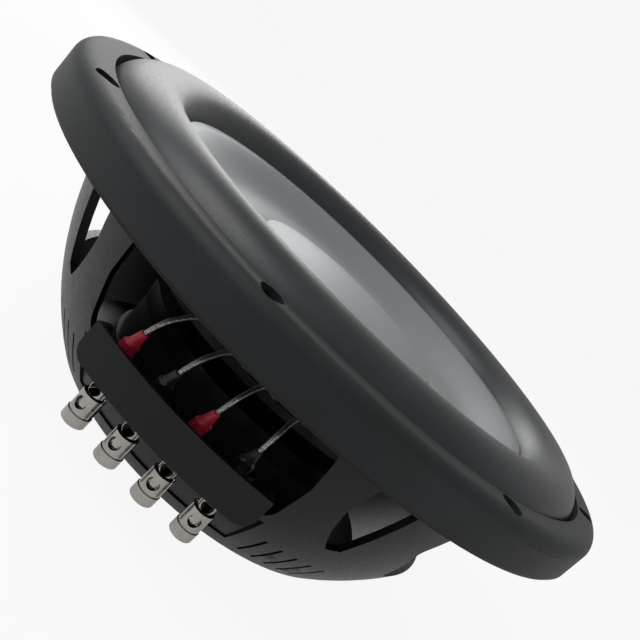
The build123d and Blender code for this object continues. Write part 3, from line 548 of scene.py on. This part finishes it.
def lead_control(number):
    """Control points of a lead: out of its sleeve, over a hump, and in under the cone to its rivet."""
    angle, _ = terminal(number)
    route = [
        (113.5, 0.8, 69.5), (108.0, 2.2, 71.0), (101.0, 4.2, 66.5), (90.0, 7.0, 65.4), (79.0, 8.6, 67.4),
        (66.0, 8.8, 71.0), (55.5, 9.1, 72.6), (48.2, 9.0, 76.0),
        (EYELET_CIRCLE, LEAD_TURN, eyelet_low - 2 * GLUE),
    ]
    points = [blade_point(number, SLEEVE_NECK + run) for run in (-LEAD_DEPTH, LEAD_STRAIGHT)]
    for radius, turn, height in route:
        heading = angle + radians(turn)
        points.append(np.array([radius * cos(heading), radius * sin(heading), height]))
    return np.array(points)


def braided_lead(number):
    """Braided tube: its radius rises where two crossing families of strands, sin(n a + k s) and
    sin(n a - k s), pass over each other, a being the angle round it and s the run along it."""
    name = f"braided_lead_{number}"
    path = evenly(spline_points(name, lead_control(number)), 420)
    run = along(path)[:, None]
    around = np.linspace(0, 2 * pi, 28, endpoint=False)[None, :]
    pitch = 5.0
    strands = 7
    one = np.sin(strands * around / 2 + 2 * pi * run / pitch)
    other = np.sin(strands * around / 2 - 2 * pi * run / pitch + pi / 2)
    radius = LEAD_RADIUS - 0.11 + 0.13 * np.maximum(np.abs(one), np.abs(other))
    angle, _ = terminal(number)
    sideways = (-sin(angle), cos(angle), 0)
    lead = swept(name, path, sideways, radius * np.cos(around), radius * np.sin(around))
    dress(lead, "silver_braid", None, f"tinsel_lead_{number}")
    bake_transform(lead)
    return lead


for number in TERMINALS:
    braided_lead(number)


# ---------------------------------------------------------------- cone and dust cap
def cone_outline():
    """Front face through the rim, the dish and the neck, and the back face a wall behind it."""
    rim_inner = cone_radius - CONE_RIM_WIDTH
    stations = [
        (former_outside + 0.1, NECK_HEIGHT, 0.8),
        (DISH_FLOOR[0], cone_rim - DISH_FLOOR[1], 0.2),
        (DISH_MIDDLE[0], cone_rim - DISH_MIDDLE[1], 0.24),
        (rim_inner, cone_rim, 0.35),
    ]
    front = through(stations)
    wall = np.linspace(1.6 * CONE_WALL, CONE_WALL, len(front))
    back = front - np.stack([np.zeros(len(front)), wall], axis=-1)
    rim = rounded([(rim_inner, cone_rim, 0), (cone_radius, cone_rim, 0.3),
                   (cone_radius, cone_rim - CONE_WALL, 0.3), (rim_inner, cone_rim - CONE_WALL, 0)], 4)
    return np.concatenate([front, rim[1:-1], back[::-1]])


cone = turned("cone_dish", cone_outline(), steps=320)
dress(cone, "silver_cone", CONE_BODY, "cone")


def dust_cap_outline():
    """Shallow spherical crown over a straight skirt, with a small radius at the edge."""
    edge = cap_top - CAP_CROWN
    foot = corners("dust_cap")[0][2]
    sphere = (cap_radius**2 + CAP_CROWN**2) / (2 * CAP_CROWN)
    reach = np.linspace(0, cap_radius - 1.4, 40)
    top = np.stack([reach, edge + np.sqrt(sphere**2 - reach**2) - (sphere - CAP_CROWN)], axis=-1)
    skirt = rounded([(reach[-1], top[-1][1], 0), (cap_radius, edge + 0.05, 1.0), (cap_radius, foot, 0.2),
                     (cap_radius - CAP_WALL, foot, 0.2), (cap_radius - CAP_WALL, edge - CAP_WALL, 0.6),
                     (0, edge - CAP_WALL, 0)], 6)
    return np.concatenate([top[:-1], skirt])


dust_cap = turned("dust_cap_dome", dust_cap_outline(), steps=256)
dress(dust_cap, "silver_cone", CONE_BODY, "dust_cap")


# ---------------------------------------------------------------- spider
def spider_outline():
    """Cloth with round waves between its collar and its foot: height = h sin(2 pi n t), t from 0 to 1."""
    inner = former_outside + GLUE
    waves_start = inner + SPIDER_COLLAR
    waves_end = spider_outer - SPIDER_FOOT
    reach = np.linspace(inner, spider_outer, 160)
    share = np.clip((reach - waves_start) / (waves_end - waves_start), 0, 1)
    wave = spider_middle + SPIDER_WAVE_HEIGHT * np.sin(2 * pi * SPIDER_WAVES * share)
    over = np.stack([reach, wave + SPIDER_CLOTH / 2], axis=-1)
    under = np.stack([reach, wave - SPIDER_CLOTH / 2], axis=-1)
    return np.concatenate([over, under[::-1]])


spider = turned("spider_cloth_disc", spider_outline(), steps=256)
dress(spider, "spider_cloth", None, "spider")
crossing(spider)


# ---------------------------------------------------------------- connector sleeves
def vinyl_sleeve(number):
    """Sleeve along a blade: each section is a superellipse |x/a|^n + |y/b|^n = 1. The half width a, the
    half thickness b and the power n run straight between the body, the shoulder, the barrel and the round
    neck, and both ends are rounded by a quarter circle."""
    run = np.linspace(SLEEVE_START, SLEEVE_NECK, 96)
    stations = (SLEEVE_START, SLEEVE_SHOULDER, SLEEVE_BARREL, SLEEVE_NECK)
    path = np.array([blade_point(number, step) for step in run])
    rounding = 0.45
    from_end = np.clip(np.minimum(run - SLEEVE_START, SLEEVE_NECK - run) / rounding, 0, 1)
    inset = rounding * (1 - np.sqrt(1 - (1 - from_end) ** 2))
    half_width = (np.interp(run, stations, (3.4, 3.4, 2.3, 1.5)) - inset)[:, None]
    half_thick = (np.interp(run, stations, (2.1, 2.1, 1.9, 1.5)) - inset)[:, None]
    power = np.interp(run, stations, (4.2, 4.2, 3.2, 2.0))[:, None]
    round_about = np.linspace(0, 2 * pi, 48, endpoint=False)[None, :]
    c, s = np.cos(round_about), np.sin(round_about)
    across = half_width * np.sign(c) * np.abs(c) ** (2 / power)
    up = half_thick * np.sign(s) * np.abs(s) ** (2 / power)
    heading = blade_heading(number)
    sleeve = swept(f"vinyl_sleeve_{number}", path, (-sin(heading), cos(heading), 0), across, up)
    slot = slot_of[f"connector_sleeve_{number}"]
    return dress(sleeve, slot, FRAME_BODY, f"connector_sleeve_{number}")


for number in TERMINALS:
    vinyl_sleeve(number)


# ---------------------------------------------------------------- push springs
def push_spring(number):
    """Round wire on a helix: at angle a its middle is at (r cos a, r sin a, low + pitch * a / 2 pi)."""
    name = f"push_spring_{number}"
    low, high = corners(name)
    centre = middle(name)
    wire = SPRING_WIRE / 2
    start, height = low[2] + wire, high[2] - low[2] - 2 * wire
    pitch = height / SPRING_TURNS
    angle = np.linspace(0, 2 * pi * SPRING_TURNS, 48 * SPRING_TURNS + 1)
    path = np.stack([centre[0] + SPRING_RADIUS * np.cos(angle), centre[1] + SPRING_RADIUS * np.sin(angle),
                     start + pitch * angle / (2 * pi)], axis=-1)
    round_about = np.linspace(0, 2 * pi, 12, endpoint=False)[None, :]
    full = np.ones((len(path), 1))
    spring = swept(f"coiled_spring_{number}", path, (0, 0, 1), wire * full * np.cos(round_about),
                   wire * full * np.sin(round_about))
    dress(spring, "spring_steel", None, name)
    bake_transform(spring)
    places = np.zeros(len(spring.data.vertices) * 3)
    spring.data.vertices.foreach_get("co", places)


for number in TERMINALS:
    push_spring(number)


# ---------------------------------------------------------------- floor, light and camera
def direct_view(tree):
    """1 for rays from the camera and through glass, about half for those that a gloss sends on, and 0 for
    light on the object."""
    gloss_share = 0.55
    rays = add_node(tree, "ShaderNodeLightPath").outputs
    softened = add_node(tree, "ShaderNodeMath", {0: rays["Is Glossy Ray"]}, operation="MULTIPLY")
    softened.inputs[1].default_value = gloss_share
    gloss = add_node(tree, "ShaderNodeMath", {0: rays["Is Camera Ray"], 1: softened.outputs[0]},
                     operation="MAXIMUM").outputs[0]
    return add_node(tree, "ShaderNodeMath", {0: gloss, 1: rays["Is Transmission Ray"]},
                    operation="MAXIMUM").outputs[0]


def white_floor():
    """Pale floor: most of what the camera and a reflection see of it is its own white, and the rest takes
    light and shadow."""
    mesh = bpy.data.meshes.new("floor")
    reach = 9.0
    mesh.from_pydata([(-reach, -reach, 0), (reach, -reach, 0), (reach, reach, 0), (-reach, reach, 0)], [],
                     [(0, 1, 2, 3)])
    floor = bpy.data.objects.new("floor", mesh)
    bpy.context.scene.collection.objects.link(floor)
    material = bpy.data.materials.new("floor_white_paper")
    material.use_nodes = True
    tree = material.node_tree
    tree.nodes.clear()
    paper = add_node(tree, "ShaderNodeBsdfDiffuse", Color=linear("#F2F2F2"))
    glow = add_node(tree, "ShaderNodeEmission", Color=(1, 1, 1, 1), Strength=1.0)
    own_white = 0.91
    seen = add_node(tree, "ShaderNodeMath", {0: direct_view(tree)}, operation="MULTIPLY")
    seen.inputs[1].default_value = own_white
    parts = {0: seen.outputs[0], 1: paper.outputs[0], 2: glow.outputs[0]}
    mix = add_node(tree, "ShaderNodeMixShader", parts)
    add_node(tree, "ShaderNodeOutputMaterial", {"Surface": mix.outputs[0]})
    mesh.materials.append(material)


def studio_world():
    """As pale as the far floor for the camera, so that no horizon shows, and a soft grey as a light."""
    world = bpy.data.worlds.new("studio")
    bpy.context.scene.world = world
    world.use_nodes = True
    tree = world.node_tree
    tree.nodes.clear()
    soft_fill = 0.12
    backdrop = 0.923
    pale = add_node(tree, "ShaderNodeMath", {0: direct_view(tree)}, operation="MULTIPLY")
    pale.inputs[1].default_value = backdrop
    seen = add_node(tree, "ShaderNodeMath", {0: pale.outputs[0]}, operation="MAXIMUM")
    seen.inputs[1].default_value = soft_fill
    light = add_node(tree, "ShaderNodeBackground", {"Strength": seen.outputs[0]}, Color=(1, 1, 1, 1))
    add_node(tree, "ShaderNodeOutputWorld", {"Surface": light.outputs[0]})


def soft_box(name, place, aim, size, power):
    """Rectangular area lamp at a place in millimetres, facing a point."""
    lamp = bpy.data.lights.new(name, "AREA")
    lamp.shape = "RECTANGLE"
    lamp.size = size[0] * MM
    lamp.size_y = size[1] * MM
    lamp.energy = power
    holder = bpy.data.objects.new(name, lamp)
    bpy.context.scene.collection.objects.link(holder)
    place = Vector(place) * MM
    direction = Vector(aim) * MM - place
    facing = direction.to_track_quat("-Z", "Y").to_matrix().to_4x4()
    holder.matrix_world = Matrix.Translation(place) @ facing


def place_camera():
    """Camera above the front edge, turned on its side by half a right angle."""
    distance = 417.4
    azimuth = radians(-82.7)
    elevation = 0.1533
    swing, tilt, roll = 0.1054, -0.1168, 0.792
    focal = 1.396
    target = Vector((0, 0, face_height)) * MM
    out = Vector((cos(azimuth) * cos(elevation), sin(azimuth) * cos(elevation), sin(elevation)))
    place = target + out * distance * MM
    forward = -out
    right = forward.cross(Vector((0, 0, 1))).normalized()
    up = right.cross(forward)
    forward = (forward + swing * right + tilt * up).normalized()
    right = forward.cross(up).normalized()
    up = right.cross(forward)
    image_right = cos(roll) * right + sin(roll) * up
    image_up = -sin(roll) * right + cos(roll) * up
    camera = bpy.data.cameras.new("camera")
    camera.sensor_width = 36
    camera.lens = focal * camera.sensor_width
    camera.shift_x = -0.0625
    camera.shift_y = 0.164
    camera.clip_start = 0.01
    holder = bpy.data.objects.new("camera", camera)
    bpy.context.scene.collection.objects.link(holder)
    rotation = Matrix((image_right, image_up, -forward)).transposed().to_4x4()
    holder.matrix_world = Matrix.Translation(place) @ rotation
    bpy.context.scene.camera = holder


white_floor()
studio_world()
soft_box("key_box", (-650, -350, 850), (0, 0, 90), (700, 700), 6)
soft_box("back_box", (-550, 800, 450), (0, 0, 100), (800, 400), 3.8)
soft_box("side_box", (900, -500, 200), (0, 0, 60), (400, 400), 0.8)
place_camera()
bpy.context.scene.view_settings.view_transform = "Standard"
